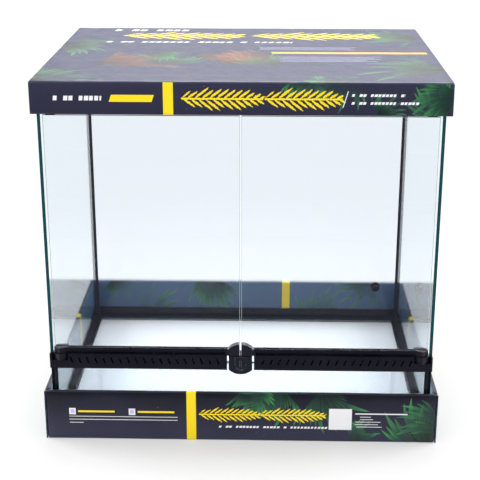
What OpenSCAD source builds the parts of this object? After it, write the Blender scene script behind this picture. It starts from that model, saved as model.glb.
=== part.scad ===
// Front-opening glass terrarium, standing in its carton tray under its carton lid.
// Millimetres. X runs left to right, Y from the doors to the rear, Z up. The origin is the
// middle of the tray's underside.

/* [Glass] */
// Width of the glass box over its side panes
glass_w = 596; // [480:1:720]
// Depth of the glass box from its door face to its rear face
glass_d = 446; // [370:1:540]
// Thickness of the side, rear, floor and lower front panes
glass_t = 5; // [4:0.5:6]
// Thickness of the two door panes
door_t = 4; // [3:0.5:5]
// Gap between the two door panes
door_split = 2.6; // [2:0.1:4]
// Leg of the silicone fillets inside the glass corners
seam = 5; // [3:0.5:6]

/* [Plastic frames] */
// Height of the tank from the foot of its base frame to the rim of its top frame
tank_h = 571; // [470:1:690]
// Wall of the two frames outside the glass
frame_wall = 3; // [2:0.5:4]
// Height of the base frame
base_h = 27; // [22:1:34]
// Height of the ledge that carries the glass above the base frame's foot
ledge_h = 7; // [6:0.5:9]
// Width of the base frame, over its ledge
ledge_w = 15; // [13:1:19]
// Height of the top frame
top_h = 44; // [38:1:54]
// Thickness of the top frame's deck
deck_t = 4; // [3:0.5:5]
// Depth from the rim down to the deck
seat_d = 7; // [6:0.5:8.5]
// Depth of the service deck behind the screen
service_d = 76; // [62:1:92]

/* [Vent bar] */
// Height of the vent bar's underside above the base frame's foot
bar_rise = 119; // [98:1:143]
// Height of the vent bar
bar_h = 24.5; // [22:0.5:29]
// How far the vent bar stands out in front of the glass
bar_proud = 8; // [7:0.5:9]
// Slots in each half of the vent bar
slot_n = 19; // [15:1:21]
// Width of a vent slot
slot_w = 2.4; // [1.6:0.1:2.6]
// Height of a vent slot
slot_h = 11; // [9:0.5:12]

/* [Doors and lock] */
// Height of the door's bottom rail
rail_h = 8; // [7:0.5:10]
// Radius of the round lock
lock_r = 25.5; // [22:0.5:27]
// Width of the lock lever
lever_w = 36.6; // [31:0.2:40]
// Radius of the hinge pins and of the lever's pin
pin_r = 1.5; // [1.2:0.1:1.8]
// Distance from a door pane's outer edge to its hinge axis
hinge_in = 8; // [7:0.5:10]

/* [Carton] */
// Thickness of one corrugated board
board_t = 4; // [3:0.5:5]
// Height of the tray's wall
tray_h = 85; // [70:1:102]
// Height of the lid's skirt
lid_h = 49; // [46:1:50]
// Thickness of the foam pad under the floor pane
pad_t = 6; // [5:0.5:7]

/* [Rear port] */
// Radius of the hole in the rear pane
port_r = 6.5; // [5:0.5:8]
// Distance from the outer face of the right pane to the port's axis
port_in = 47; // [36:1:60]
// Height of the port's axis above the floor pane
port_rise = 64; // [40:1:90]

/* [Clearances] */
// Gap between the base frame and the tray, each side
tray_gap = 1; // [0.8:0.1:2]
// Gap between the top frame and the lid, each side
lid_gap = 2; // [1.5:0.1:3]
// Running clearance of a pin in its hole, on the radius
run_gap = 0.05; // [0.03:0.01:0.08]
// Gap between pieces that move past each other
move_gap = 0.8; // [0.6:0.1:1]

/* [Hidden] */

far = 1000;                            // longer than any piece, for cuts that run right through
lap = 1;                               // a cut runs this far past the face or the cut that it meets
$fn = 48;

// Glass box, seen from above
outer_x = glass_w / 2;                 // outer face of the side panes
inner_x = outer_x - glass_t;           // inner face of the side panes
front_y = -glass_d / 2;                // face of the doors and of the lower front pane
back_y = glass_d / 2;                  // outer face of the rear pane
lower_y = front_y + glass_t;           // inner face of the lower front pane
rear_y = back_y - glass_t;             // inner face of the rear pane
door_y = front_y + door_t;             // inner face of the doors
frame_x = outer_x + frame_wall;        // outer face of both frames
frame_y = back_y + frame_wall;

// Heights
foot_z = board_t;                      // the base frame stands on the tray's floor
ledge_z = foot_z + ledge_h;            // underside of all panes
floor_z = ledge_z + glass_t;           // top of the floor pane
rim_z = foot_z + tank_h;               // rim of the top frame
deck_z = rim_z - seat_d;               // top of the top frame's deck
pane_top = deck_z - deck_t;            // top edge of the side and rear panes
beam_z = rim_z - top_h;                // underside of the top frame
screen_proud = 1;                      // the screen stands this far over the rim
screen_top = rim_z + screen_proud;

// Carton: inner faces of the walls, and the z values that they stand between
tray_x = frame_x + tray_gap;
tray_y = frame_y + tray_gap;
tray_wall = 2 * board_t;               // the tray's walls are folded double
tray_wall_z = [0, tray_h];
lid_x = frame_x + lid_gap;
lid_y = frame_y + lid_gap;
lid_top_z = screen_top + board_t;
lid_wall_z = [lid_top_z - lid_h, screen_top];

// Vent bar
bar_z = foot_z + bar_rise;
bar_top = bar_z + bar_h;
bar_wall = 2;
bar_y = front_y - bar_proud;           // face of the vent bar
bar_back = lower_y + bar_wall;
face_proud = 2;                        // the lock and the hinge sockets stand this far out of the bar
slot_drop = 4.7;                       // from the bar's top down to the tops of its slots
slot_in = 12.5;                        // from the bar's hollow to its inner slot
slot_out = 3.5;                        // from its outer slot to the hollow's other end
pane_bite = 8;                         // the lower pane reaches this far up into the bar
lower_top = bar_z + pane_bite;
lever_gap = 2.7;                       // open slit on each side of the lever
bar_in = lever_w / 2 + lever_gap;      // inner end of each half bar

// Doors
door_z = bar_top + move_gap;           // underside of the door's plastic pieces
shell = 2.5;                           // wall of the door's mouldings
pane_bed = 0.7;                        // glue under a door pane
pane_z = door_z + shell + pane_bed;    // bottom edge of the door panes
rail_top = door_z + rail_h;
shoe_t = 2.5;
shoe_z = beam_z - move_gap - shoe_t;   // top edge of the door panes
edge_gap = 3;                          // between a door pane and the side pane
edge_x = inner_x - edge_gap;           // outer edge of a door pane
split_x = door_split / 2;              // inner edge of a door pane
hinge_x = edge_x - hinge_in;           // the doors turn about this line
hinge_y = front_y + door_t / 2;
knuckle_r = hinge_in + 1;              // round back of the door corner
prow_r = hinge_in + edge_gap - move_gap;   // from the hinge to the corner's pointed front
flank_y = front_y - shell;             // where the flanks of that front end
pin_play = 0.5;                        // between a hinge pin's end and the end of its hole

// Hinge sockets
corner_w = 20.5;                       // width of the door corner and of its socket
corner_x = edge_x - corner_w;          // inner end of both
socket_h = 11;
socket_z = bar_top - socket_h;
socket_y = bar_y - face_proud;
socket_end = outer_x - edge_gap;       // outer end, in front of the side pane's edge
pin_z = socket_z + 2;                  // bottom of the pin's hole

// Lock
lock_drop = 6.3;                       // the doors' catches end this far above the lock's centre
lock_z = door_z - lock_drop;           // centre of the round lock
lock_y = bar_y - face_proud;           // face of the lock
lever_t = 3.5;
lever_back = lock_y + lever_t;
axis_set = [2.5, -7.6];                // the lever's axis, from its back and from the lock's centre
lever_axis_y = lever_back + axis_set[0];
lever_axis_z = lock_z + axis_set[1];
lug_t = 2.8;
lug_gap = 0.5;                         // between a lug and the bracket's boss
bracket_x = lever_w / 2 - lug_t - lug_gap;
boss_r = pin_r + 0.7;                  // the lever's back passes this boss as it turns
boss_z = [lever_axis_z - boss_r, lever_axis_z + boss_r];
top_reach = door_z - move_gap / 2 - lever_axis_z;
slit_gap = 0.3;                        // on each side of the lever's rib
lever_gate = split_x - slit_gap;       // half width of that rib, between the two catches
shield_w = 8.8;                        // half width of the shield sunk in the lever's face
shield_tall = 23;
shield_point = 12;                     // height of its pointed foot
shield_drop = 2;                       // from the bar's top to the shield's
shield_deep = 0.8;
ridge_w = 0.8;                         // half width of the ridge down its middle
ridge_in = 6;                          // from its two ends to the ridge's

// Screen and inlets
rim_in_x = outer_x;                    // inner face of the rim
screen_gap = 1;
screen_w = 14;                         // width of the screen's frame bars
screen_x = rim_in_x - screen_gap;
screen_y0 = front_y + screen_gap;
rib_t = 2;
rib_y = frame_y - service_d;           // rib between the screen and the service deck
screen_y1 = rib_y - screen_gap;
mesh_t = 0.8;
mesh_bite = 3;                         // the mesh reaches this far into its frame
mesh_rise = 3;                         // height of the mesh above the deck
mesh_z = deck_z + mesh_rise;
deck_in = 17;                          // width of the deck inside the glass line
inner_wall = 3;
channel_h = 19;                        // depth of the glass channel's inner wall
front_in = 17;                         // depth of the front beam behind the door face
rear_lap = 12;                         // the deck reaches this far under the screen's rear bar

inlet_x = 180;                         // centre of each cable inlet
inlet_w = 34;
inlet_d = 16;
inlet_back = 36;                       // from the rib to the middle of an inlet
inlet_y = rib_y + inlet_back;
gate_over = 6;                         // the gate covers the inlet by this much all round
gate_t = 3;
gate_gap = 0.4;                        // between a gate and its guides
guide_t = 2.8;
gate_travel = inlet_w + gate_over + 1; // opens the whole inlet
lip_t = 1.4;                           // thickness of the guides' lips over the gate
lip_w = 2.5;                           // width of those lips

// Rear port
port_x = outer_x - port_in;
port_z = floor_z + port_rise;
flange_t = 2;
flange_r = port_r + 2;
plug_r = port_r - 2;

black = [0.06, 0.06, 0.07];
glass = [0.75, 0.88, 0.86, 0.35];
card = [0.16, 0.15, 0.20];

// A box between two x, two y and two z values
module box(x, y, z) {
    translate([x[0], y[0], z[0]]) cube([x[1] - x[0], y[1] - y[0], z[1] - z[0]]);
}

// Draws the right-hand piece, or its mirror image on the left
module sided(side) {
    if (side < 0) mirror([1, 0, 0]) children();
    else children();
}

// The same from front to rear: draws the rear one, or its mirror image at the front
module ended(side) {
    if (side < 0) mirror([0, 1, 0]) children();
    else children();
}

// A cylinder along Z between two heights
module post(x, y, z, r) {
    translate([x, y, z[0]]) cylinder(r = r, h = z[1] - z[0]);
}

// A cylinder along the lever's axis between two x values
module on_lever_axis(r, x) {
    translate([x[0], lever_axis_y, lever_axis_z]) rotate([0, 90, 0]) cylinder(r = r, h = x[1] - x[0]);
}

// ---- carton ----

// The tray and the lid are each one folded sheet. Their panels meet at the creases, and each
// panel is a slab of its own.

module tray_floor() {
    color(card) box([-tray_x, tray_x], [-tray_y, tray_y], [0, board_t]);
}

module tray_long_wall(side) {
    color(card) ended(side) box([-tray_x, tray_x], [tray_y, tray_y + tray_wall], tray_wall_z);
}

module tray_end_wall(side) {
    color(card) sided(side)
        box([tray_x, tray_x + tray_wall], [-tray_y - tray_wall, tray_y + tray_wall], tray_wall_z);
}

module lid_top() {
    color(card) box([-lid_x - board_t, lid_x + board_t], [-lid_y - board_t, lid_y + board_t],
        [screen_top, lid_top_z]);
}

module lid_long_wall(side) {
    color(card) ended(side) box([-lid_x, lid_x], [lid_y, lid_y + board_t], lid_wall_z);
}

module lid_end_wall(side) {
    color(card) sided(side)
        box([lid_x, lid_x + board_t], [-lid_y - board_t, lid_y + board_t], lid_wall_z);
}

module floor_pad() {
    pad_gap = 2;                       // between the pad and the base frame's foot
    pad_x = frame_x - ledge_w - pad_gap;
    pad_y = frame_y - ledge_w - pad_gap;
    color("white") box([-pad_x, pad_x], [-pad_y, pad_y], [foot_z, foot_z + pad_t]);
}

// ---- glass ----

module floor_glass() {
    joint = 0.5;
    color(glass)
        box([-inner_x + joint, inner_x - joint], [lower_y + joint, rear_y - joint], [ledge_z, floor_z]);
}

module side_glass(side) {
    color(glass) sided(side) box([inner_x, outer_x], [front_y, back_y], [ledge_z, pane_top]);
}

module rear_glass() {
    color(glass) difference() {
        box([-inner_x, inner_x], [rear_y, back_y], [ledge_z, pane_top]);
        translate([port_x, 0, port_z]) rotate([-90, 0, 0]) cylinder(r = port_r, h = far);
    }
}

module front_lower_glass() {
    color(glass) box([-inner_x, inner_x], [front_y, lower_y], [ledge_z, lower_top]);
}

module door_glass(side) {
    color(glass) sided(side) box([split_x, edge_x], [front_y, door_y], [pane_z, shoe_z]);
}

// A three-sided fillet along Z in the corner at x, y; dx and dy point away from the glass
module upright_seam(x, y, dx, dy, z) {
    translate([x, y, z[0]]) linear_extrude(z[1] - z[0]) polygon([[0, 0], [dx * seam, 0], [0, dy * seam]]);
}

module silicone_seams() {
    color(black) {
        for (side = [-1, 1]) {
            upright_seam(side * inner_x, rear_y, -side, -1, [floor_z, pane_top - channel_h]);
            upright_seam(side * inner_x, lower_y, -side, 1, [floor_z, bar_z]);
            // along the floor beside each side pane
            sided(side) translate([inner_x, rear_y, floor_z]) rotate([90, 0, 0])
                linear_extrude(rear_y - lower_y) polygon([[0, 0], [-seam, 0], [0, seam]]);
        }
        // along the floor in front of the rear pane and behind the lower front pane
        translate([-inner_x, rear_y, floor_z]) rotate([90, 0, 90])
            linear_extrude(2 * inner_x) polygon([[0, 0], [-seam, 0], [0, seam]]);
        translate([-inner_x, lower_y, floor_z]) rotate([90, 0, 90])
            linear_extrude(2 * inner_x) polygon([[0, 0], [seam, 0], [0, seam]]);
    }
}

// ---- rear port ----

// A cylinder along the port's axis between two y values
module along_port(r, y) {
    translate([port_x, y[0], port_z]) rotate([-90, 0, 0]) cylinder(r = r, h = y[1] - y[0]);
}

module port_grommet() {
    color(black) difference() {
        union() {
            along_port(port_r, [rear_y, back_y]);
            along_port(flange_r, [rear_y - flange_t, rear_y]);
            along_port(flange_r, [back_y, back_y + flange_t]);
        }
        along_port(plug_r, [rear_y - far, back_y + far]);
    }
}

module port_plug() {
    head_r = plug_r + 1.2;
    head_l = 8;
    color(black) union() {
        along_port(plug_r - run_gap, [rear_y - flange_t, back_y]);
        along_port(head_r, [rear_y - flange_t - head_l, rear_y - flange_t]);
    }
}

// ---- base frame ----

module base_frame() {
    foot_wall = 3;
    in_x = frame_x - ledge_w;
    in_y = frame_y - ledge_w;
    color(black) difference() {
        box([-frame_x, frame_x], [-frame_y, frame_y], [foot_z, foot_z + base_h]);
        // pocket that takes the glass
        box([-outer_x, outer_x], [front_y, back_y], [ledge_z, far]);
        // opening under the floor pane
        box([-in_x, in_x], [-in_y, in_y], [-far, far]);
        // hollow underside between the foot's two walls, in four runs with solid corners
        for (side = [-1, 1]) {
            sided(side) box([in_x + foot_wall, outer_x], [-in_y, in_y], [-far, ledge_z - foot_wall]);
            ended(side) box([-in_x, in_x], [in_y + foot_wall, back_y], [-far, ledge_z - foot_wall]);
        }
    }
}

// ---- vent bar and lower hinges ----

// The space that a hinge socket takes in the bar: its back, and a bay open to the front and the top
module socket_bay() {
    box([corner_x, socket_end], [-far, front_y], [socket_z, bar_top]);
    box([corner_x, inner_x], [front_y, bar_back], [socket_z, bar_top]);
}

// A block with a pointed front: its point is at the hinge, and its flanks fall back on both sides
module prow(point_y, end_x, z) {
    translate([0, 0, z[0]]) linear_extrude(z[1] - z[0])
        polygon([[corner_x, front_y], [corner_x, flank_y], [hinge_x, point_y],
            [end_x, flank_y], [end_x, front_y]]);
}

// One upright slot with round ends, leaning outwards at its top
module vent_slot(x) {
    lean = 22;
    run = (slot_h - slot_w) / 2;
    slot_z = bar_top - slot_drop - slot_h / 2;
    translate([x, bar_y - lap, slot_z]) rotate([0, lean, 0]) rotate([-90, 0, 0])
        linear_extrude(bar_wall + 2 * lap) union() {
            square([slot_w, 2 * run], center = true);
            for (end = [-1, 1]) translate([0, end * run]) circle(d = slot_w, $fn = 16);
        }
}

module vent_bar(side) {
    hollow_x = [bar_in + bar_wall, corner_x - bar_wall];
    slot_from = hollow_x[0] + slot_in;
    slot_pitch = (hollow_x[1] - slot_out - slot_from) / (slot_n - 1);
    shelf_z = lower_top + bar_wall;    // over the lower pane's edge
    web_t = 1.5;                       // wall in front of the lower pane
    web_y = front_y - web_t;
    windows = 6;                       // openings in the bar's back, with posts between them
    window_pitch = (hollow_x[1] - hollow_x[0]) / windows;
    post_w = 4;
    sill = 1;                          // above and below each window
    color(black) sided(side) difference() {
        union() {
            box([bar_in, outer_x], [bar_y, front_y], [bar_z, bar_top]);
            box([bar_in, inner_x], [front_y, bar_back], [bar_z, bar_top]);
        }
        // channel that clips over the lower pane
        box([0, inner_x], [front_y, lower_y], [-far, lower_top]);
        // air way: behind the slots, and over the pane's edge
        box(hollow_x, [bar_y + bar_wall, web_y], [bar_z + bar_wall, bar_top - bar_wall]);
        box(hollow_x, [web_y - lap, lower_y], [shelf_z, bar_top - bar_wall]);
        for (i = [0 : slot_n - 1]) vent_slot(slot_from + i * slot_pitch);
        for (i = [0 : windows - 1])
            translate([hollow_x[0] + i * window_pitch, 0, 0])
                box([post_w / 2, window_pitch - post_w / 2], [lower_y - lap, bar_back + lap],
                    [shelf_z + sill, bar_top - bar_wall - sill]);
        socket_bay();
        // hole for the lever's pin
        on_lever_axis(pin_r, [0, hollow_x[0] + bar_wall]);
    }
}

module vent_mesh(side) {
    play = 0.5;                        // at each end of the mesh
    color("dimgray") sided(side)
        box([bar_in + bar_wall + play, corner_x - bar_wall - play], [lower_y - mesh_t, lower_y],
            [lower_top + bar_wall, bar_top - bar_wall]);
}

module hinge_socket(side) {
    color(black) sided(side) difference() {
        union() {
            prow(socket_y, socket_end, [socket_z, bar_top]);
            box([corner_x, inner_x], [front_y, bar_back], [socket_z, bar_top]);
        }
        post(hinge_x, hinge_y, [pin_z, far], pin_r + run_gap);
    }
}

// ---- lock ----

module lock_bracket() {
    skin = 0.5;                        // of the saddle, in front of the lower pane
    saddle_rise = 2;                   // from the bar's underside to the saddle's foot
    color(black) difference() {
        union() {
            // saddle over the lower pane's edge, and the arm that holds the pin in front of it
            box([-bracket_x, bracket_x], [front_y - skin, bar_back],
                [bar_z + saddle_rise, lower_top + bar_wall]);
            box([-bracket_x, bracket_x], [lever_axis_y, front_y], boss_z);
            on_lever_axis(boss_r, [-bracket_x, bracket_x]);
        }
        box([-far, far], [front_y, lower_y], [-far, lower_top]);
        on_lever_axis(pin_r, [-far, far]);
    }
}

module lock_pin() {
    pin_bite = bar_wall + 1;           // the pin's ends sit in the two half bars
    reach = bar_in + pin_bite;
    color("silver") on_lever_axis(pin_r, [-reach, reach]);
}

// The round lock's outline as a disc from its face to depth y
module lock_disc(r, y) {
    translate([0, y[0], lock_z]) rotate([-90, 0, 0]) cylinder(r = r, h = y[1] - y[0], $fn = 96);
}

// The shield's outline above its own point: a pointed arch upside down, under a rectangle
module shield_outline() {
    arch_r = (shield_point * shield_point / shield_w + shield_w) / 2;
    translate([-shield_w, shield_point]) square([2 * shield_w, shield_tall - shield_point]);
    intersection() {
        intersection_for (side = [-1, 1])
            translate([side * (arch_r - shield_w), shield_point]) circle(arch_r);
        translate([-shield_w, 0]) square([2 * shield_w, shield_point]);
    }
}

module lock_lever() {
    rib_set = 1;                       // the rib's face lies this far behind the lever's
    color(black) difference() {
        union() {
            intersection() {
                lock_disc(lock_r, [lock_y, lever_back]);
                box([-lever_w / 2, lever_w / 2], [-far, far], [-far, bar_top]);
                // round the top edge, so that it passes under the catches as it tips back
                union() {
                    box([-far, far], [-far, far], [-far, lever_axis_z]);
                    on_lever_axis(top_reach, [-far, far]);
                }
            }
            // rib that closes the foot of the slit between the door catches
            box([-lever_gate, lever_gate], [lock_y + rib_set, lever_back],
                [bar_top - rib_set, rail_top]);
            for (side = [-1, 1]) sided(side) intersection() {
                box([lever_w / 2 - lug_t, lever_w / 2], [lock_y, lever_axis_y + boss_r], boss_z);
                union() {
                    box([0, far], [-far, lever_axis_y], [-far, far]);
                    on_lever_axis(boss_r, [0, far]);
                }
            }
        }
        on_lever_axis(pin_r + run_gap, [-far, far]);
        // shallow shield, with a ridge left standing down its middle
        difference() {
            translate([0, lock_y + shield_deep, bar_top - shield_drop - shield_tall])
                rotate([90, 0, 0]) linear_extrude(shield_deep + lap) shield_outline();
            box([-ridge_w, ridge_w], [-far, far],
                [bar_top - shield_drop - shield_tall + ridge_in, bar_top - shield_drop - ridge_in]);
        }
    }
}

// ---- doors ----

// Cut that seats a door pane in the door's mouldings
module pane_pocket() {
    box([0, edge_x], [front_y, door_y], [pane_z, far]);
}

module door_rail(side) {
    color(black) sided(side) difference() {
        box([lock_r, corner_x], [front_y - shell, door_y + shell], [door_z, rail_top]);
        pane_pocket();
    }
}

module door_corner(side) {
    rise = 0.5;                        // over the rail beside it
    color(black) sided(side) difference() {
        union() {
            prow(hinge_y - prow_r, hinge_x + knuckle_r, [door_z, rail_top + rise]);
            intersection() {
                post(hinge_x, hinge_y, [door_z, rail_top + rise], knuckle_r);
                box([-far, far], [front_y, far], [-far, far]);
            }
            box([corner_x, hinge_x], [front_y, hinge_y + knuckle_r], [door_z, rail_top + rise]);
        }
        pane_pocket();
        post(hinge_x, hinge_y, [-far, pane_z], pin_r);
    }
}

module door_catch(side) {
    catch_wall = 2;
    catch_lip = 1;                     // of its foot, in front of the pane
    color(black) sided(side) difference() {
        union() {
            intersection() {
                lock_disc(lock_r, [lock_y, front_y]);
                box([split_x, far], [-far, far], [door_z, far]);
            }
            box([split_x, lock_r], [front_y - catch_lip, door_y + shell], [door_z, rail_top]);
        }
        // hollow behind the face, closed by the pane
        intersection() {
            lock_disc(lock_r - catch_wall, [lock_y + catch_wall, front_y]);
            box([split_x + catch_wall, far], [-far, far], [rail_top + catch_wall, far]);
        }
        pane_pocket();
    }
}

module pivot_shoe(side) {
    shoe_z1 = shoe_z + shoe_t;
    shoe_l = 10.5;                     // from its end to the hinge axis
    shoe_lip = 1;                      // on each face of the pane
    eye_r = door_t / 2 + 1.5;
    color(black) sided(side) union() {
        post(hinge_x, hinge_y, [shoe_z, shoe_z1], eye_r);
        box([hinge_x - shoe_l, hinge_x], [front_y - shoe_lip, door_y + shoe_lip], [shoe_z, shoe_z1]);
    }
}

module hinge_pins(side) {
    color("silver") sided(side) {
        post(hinge_x, hinge_y, [pin_z + pin_play, pane_z], pin_r);
        post(hinge_x, hinge_y, [shoe_z + shoe_t, beam_z + deck_t - pin_play], pin_r);
    }
}

// ---- top frame, inlets and screen ----

// Draws a piece on the right and its mirror image on the left
module both_sides() {
    for (side = [-1, 1]) sided(side) children();
}

module top_frame() {
    wall_x = inner_x - inner_wall;     // inner face of the glass channel
    wall_y = rear_y - inner_wall;
    open_x = outer_x - deck_in;
    open_y0 = front_y + front_in;
    open_y1 = screen_y1 - rear_lap;
    guide_x = [inlet_x - inlet_w / 2 - gate_over - gate_travel, inlet_x + inlet_w / 2 + gate_over];
    guide_y = inlet_d / 2 + gate_over + gate_gap;
    color(black) union() {
        difference() {
            box([-frame_x, frame_x], [-frame_y, frame_y], [beam_z, rim_z]);
            // seat of the screen, and service deck behind it
            box([-rim_in_x, rim_in_x], [front_y, rib_y], [deck_z, far]);
            box([-rim_in_x, rim_in_x], [rib_y + rib_t, back_y], [deck_z, far]);
            // opening for air and light
            box([-open_x, open_x], [open_y0, open_y1], [-far, far]);
            // room below the deck
            box([-wall_x, wall_x], [open_y0, wall_y], [-far, pane_top]);
            box([-inner_x, inner_x], [open_y0, rear_y], [-far, pane_top - channel_h]);
            // channels for the side and rear panes
            both_sides() box([inner_x, outer_x], [front_y, back_y], [-far, pane_top]);
            box([-outer_x, outer_x], [rear_y, back_y], [-far, pane_top]);
            // hollow of the front beam
            box([-inner_x, inner_x], [front_y, open_y0 - inner_wall], [beam_z + deck_t, pane_top]);
            both_sides() {
                box([inlet_x - inlet_w / 2, inlet_x + inlet_w / 2],
                    [inlet_y - inlet_d / 2, inlet_y + inlet_d / 2], [-far, far]);
                post(hinge_x, hinge_y, [-far, beam_z + deck_t], pin_r + run_gap);
            }
        }
        // guides of the inlet gates
        both_sides() for (way = [-1, 1]) translate([0, inlet_y, 0]) ended(way) {
            lip_z = deck_z + gate_t + gate_gap;
            box(guide_x, [guide_y, guide_y + guide_t], [deck_z, lip_z + lip_t]);
            box(guide_x, [guide_y - lip_w, guide_y + guide_t], [lip_z, lip_z + lip_t]);
        }
    }
}

module inlet_gate(side) {
    half_w = inlet_w / 2 + gate_over;
    half_d = inlet_d / 2 + gate_over;
    // three grip ribs across the gate
    grip_pitch = 5;
    grip_w = 2;
    grip_h = 2;
    color([0.12, 0.12, 0.13]) sided(side) union() {
        box([inlet_x - half_w, inlet_x + half_w], [inlet_y - half_d, inlet_y + half_d],
            [deck_z, deck_z + gate_t]);
        for (rib = [-1, 0, 1])
            translate([inlet_x + rib * grip_pitch, 0, 0])
                box([-grip_w / 2, grip_w / 2], [inlet_y - inlet_d / 2, inlet_y + inlet_d / 2],
                    [deck_z + gate_t, deck_z + gate_t + grip_h]);
    }
}

module mesh_sheet(z) {
    box([-screen_x + screen_w - mesh_bite, screen_x - screen_w + mesh_bite],
        [screen_y0 + screen_w - mesh_bite, screen_y1 - screen_w + mesh_bite], z);
}

module screen_frame() {
    color(black) difference() {
        box([-screen_x, screen_x], [screen_y0, screen_y1], [deck_z, screen_top]);
        box([-screen_x + screen_w, screen_x - screen_w],
            [screen_y0 + screen_w, screen_y1 - screen_w], [-far, far]);
        mesh_sheet([mesh_z, mesh_z + mesh_t]);
    }
}

module screen_mesh() {
    color("gray") mesh_sheet([mesh_z, mesh_z + mesh_t]);
}

tray_floor();
tray_long_wall(-1);  // tray_front_wall
tray_long_wall(1);  // tray_rear_wall
tray_end_wall(-1);  // tray_left_wall
tray_end_wall(1);  // tray_right_wall
floor_pad();
base_frame();
floor_glass();
side_glass(-1);  // left_glass
side_glass(1);  // right_glass
rear_glass();
front_lower_glass();
silicone_seams();
port_grommet();
port_plug();
vent_bar(-1);  // vent_bar_left
vent_bar(1);  // vent_bar_right
vent_mesh(-1);  // vent_mesh_left
vent_mesh(1);  // vent_mesh_right
hinge_socket(-1);  // hinge_socket_left
hinge_socket(1);  // hinge_socket_right
lock_bracket();
lock_pin();
lock_lever();
door_glass(-1);  // door_glass_left
door_glass(1);  // door_glass_right
door_rail(-1);  // door_rail_left
door_rail(1);  // door_rail_right
door_corner(-1);  // door_corner_left
door_corner(1);  // door_corner_right
door_catch(-1);  // door_catch_left
door_catch(1);  // door_catch_right
pivot_shoe(-1);  // pivot_shoe_left
pivot_shoe(1);  // pivot_shoe_right
hinge_pins(-1);  // hinge_pins_left
hinge_pins(1);  // hinge_pins_right
top_frame();
inlet_gate(-1);  // inlet_gate_left
inlet_gate(1);  // inlet_gate_right
screen_frame();
screen_mesh();
lid_top();
lid_long_wall(-1);  // lid_front_wall
lid_long_wall(1);  // lid_rear_wall
lid_end_wall(-1);  // lid_left_wall
lid_end_wall(1);  // lid_right_wall
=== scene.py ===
import math

import bmesh
import bpy
from mathutils import Matrix, Vector, noise


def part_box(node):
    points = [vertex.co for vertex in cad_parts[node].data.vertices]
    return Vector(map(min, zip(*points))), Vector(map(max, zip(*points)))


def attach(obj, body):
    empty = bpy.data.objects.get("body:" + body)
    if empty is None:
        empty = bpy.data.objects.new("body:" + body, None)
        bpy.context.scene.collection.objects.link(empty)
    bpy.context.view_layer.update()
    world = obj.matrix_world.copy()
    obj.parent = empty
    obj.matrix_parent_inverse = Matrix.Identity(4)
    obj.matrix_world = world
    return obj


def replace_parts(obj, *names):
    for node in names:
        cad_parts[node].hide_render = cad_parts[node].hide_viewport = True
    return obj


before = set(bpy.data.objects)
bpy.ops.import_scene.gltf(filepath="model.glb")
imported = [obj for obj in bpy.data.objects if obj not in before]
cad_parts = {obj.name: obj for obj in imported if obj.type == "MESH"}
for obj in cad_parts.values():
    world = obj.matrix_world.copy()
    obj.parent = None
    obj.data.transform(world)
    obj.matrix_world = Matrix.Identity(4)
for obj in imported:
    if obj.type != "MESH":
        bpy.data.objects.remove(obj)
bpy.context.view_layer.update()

# ---- carton tray ----
# Corrugated board, offset printed and varnished. Each wall is one board folded over itself, so its rim
# is round, and raw brown paper shows only where the folds are cut at the four upper corners.

MM = 0.001


def linear(code):
    """An sRGB hex value as the linear colour that a socket takes."""
    parts = [int(code[i:i + 2], 16) / 255 for i in (1, 3, 5)]
    return (*[c / 12.92 if c <= 0.04045 else ((c + 0.055) / 1.055) ** 2.4 for c in parts], 1.0)


def add(tree, kind, into=None, **settings):
    """Adds a shader, texture or math node, or a geometry node by its full name, with its settings.

    Each input in into is set to a value, or linked to a socket or to a node's first output.
    """
    node = tree.nodes.new(kind if kind.startswith("GeometryNode") else f"ShaderNode{kind}")
    for name, value in settings.items():
        setattr(node, name, value)
    for key, value in (into or {}).items():
        if isinstance(value, bpy.types.Node):
            value = value.outputs[0]
        if isinstance(value, bpy.types.NodeSocket):
            tree.links.new(value, node.inputs[key])
        else:
            node.inputs[key].default_value = value
    return node


def group(name, kind, takes, gives):
    """An empty node group, the sockets in it that hand over what it takes, and those for what it gives."""
    tree = bpy.data.node_groups.new(name, kind)
    for label, socket in takes.items():
        tree.interface.new_socket(label, in_out="INPUT", socket_type=socket)
    for label, socket in gives.items():
        tree.interface.new_socket(label, in_out="OUTPUT", socket_type=socket)
    return tree, tree.nodes.new("NodeGroupInput").outputs, tree.nodes.new("NodeGroupOutput").inputs


def blank(name):
    """An empty material, its node tree, and the object coordinates in it."""
    material = bpy.data.materials.new(name)
    material.use_nodes = True
    tree = material.node_tree
    tree.nodes.clear()
    return material, tree, add(tree, "TexCoord").outputs["Object"]


def solid(name, form, *materials, smooth=35):
    """Turns a bmesh into an object at the origin, shaded smooth but for edges over smooth degrees."""
    mesh = bpy.data.meshes.new(name)
    form.to_mesh(mesh)
    form.free()
    for material in materials:
        mesh.materials.append(material)
    mesh.shade_smooth()
    mesh.set_sharp_from_angle(angle=math.radians(smooth))
    made = bpy.data.objects.new(name, mesh)
    bpy.context.scene.collection.objects.link(made)
    return made


def finished(made):
    """Applies an object's modifiers, and leaves it a plain mesh."""
    graph = bpy.context.evaluated_depsgraph_get()
    mesh = bpy.data.meshes.new_from_object(made.evaluated_get(graph), depsgraph=graph)
    made.modifiers.clear()
    made.data = mesh
    return made


def mounted(made, body, slot, *nodes):
    """Puts a finished piece on its body, in place of the CAD pieces that it stands for."""
    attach(made, body)
    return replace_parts(made, *nodes)


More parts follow.
